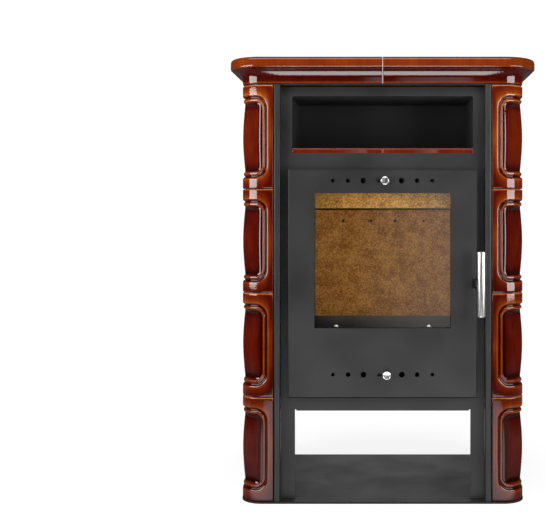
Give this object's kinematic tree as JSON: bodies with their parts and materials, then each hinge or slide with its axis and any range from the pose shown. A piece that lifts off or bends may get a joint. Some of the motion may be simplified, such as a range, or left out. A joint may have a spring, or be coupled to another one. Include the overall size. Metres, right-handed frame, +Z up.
{
  "type": "tiled wood stove",
  "caption": "Upright wood stove: steel body with glazed door, warming niche above and wood store below, flanked by glazed relief tiles that wrap the front corners, under a glazed cornice.",
  "frame": {"origin": "middle of the base plate's underside, on the floor", "axes": "+Z up, -Y out of the door towards the user, +X to the user's right as they face the stove"},
  "size_m": [0.71, 0.517, 1.0212],
  "materials": {
    "glaze": "gloss",
    "painted_steel": "matte",
    "dark_steel": "matte",
    "cast_iron": "matte",
    "stainless": "satin",
    "vermiculite": "matte",
    "rope": "matte",
    "fire_glass": "gloss"
  },
  "bodies": {
    "stove_body": {"base_plate": "dark_steel", "side_frame_left": "painted_steel", "side_frame_right": "painted_steel", "rear_panel": "painted_steel", "front_plate": "painted_steel", "latch_keeper": "dark_steel", "hinge_bracket_lower": "dark_steel", "hinge_bracket_upper": "dark_steel", "top_plate": "dark_steel", "store_ceiling": "dark_steel", "niche_box": "dark_steel", "niche_tile_left": "glaze", "niche_tile_right": "glaze", "cornice_left": "glaze", "cornice_right": "glaze", "corner_tile_left_1": "glaze", "corner_tile_left_2": "glaze", "corner_tile_left_3": "glaze", "corner_tile_left_4": "glaze", "corner_tile_right_1": "glaze", "corner_tile_right_2": "glaze", "corner_tile_right_3": "glaze", "corner_tile_right_4": "glaze", "side_tile_left_1": "glaze", "side_tile_left_2": "glaze", "side_tile_left_3": "glaze", "side_tile_left_4": "glaze", "side_tile_right_1": "glaze", "side_tile_right_2": "glaze", "side_tile_right_3": "glaze", "side_tile_right_4": "glaze", "firebox_shell": "dark_steel", "flue_collar": "painted_steel", "lining_back_left": "vermiculite", "lining_back_right": "vermiculite", "lining_side_left": "vermiculite", "lining_side_right": "vermiculite", "baffle_plate": "vermiculite", "hearth_brick_left": "vermiculite", "hearth_brick_right": "vermiculite", "hearth_brick_rear": "vermiculite", "grate": "cast_iron", "ash_pan": "painted_steel", "log_guard": "dark_steel", "guard_screw_left": "stainless", "guard_screw_right": "stainless"},
    "door": {"door_panel": "painted_steel", "door_frame": "dark_steel", "door_seal": "rope", "door_glass": "fire_glass", "glass_seal": "rope", "glass_frame": "dark_steel"},
    "upper_air": {"air_slider_upper": "dark_steel", "air_knob_upper": "stainless"},
    "lower_air": {"air_slider_lower": "dark_steel", "air_knob_lower": "stainless"},
    "latch": {"latch_lever": "dark_steel", "handle_grip": "stainless"}
  },
  "joints": [
    {"name": "door_hinge", "type": "hinge", "parent": "stove_body", "child": "door", "pos_m": [-0.212, -0.208, 0.504], "axis": [0, 0, -1], "range_deg": [0, 110]},
    {"name": "upper_air_slide", "type": "slide", "parent": "door", "child": "upper_air", "axis": [1, 0, 0], "range_m": [-0.0152, 0.0044]},
    {"name": "lower_air_slide", "type": "slide", "parent": "door", "child": "lower_air", "axis": [1, 0, 0], "range_m": [-0.0193, 0.0003]},
    {"name": "latch_turn", "type": "hinge", "parent": "door", "child": "latch", "pos_m": [0.208, -0.208, 0.505], "axis": [0, 0, 1], "range_deg": [-8, 28]}
  ]
}
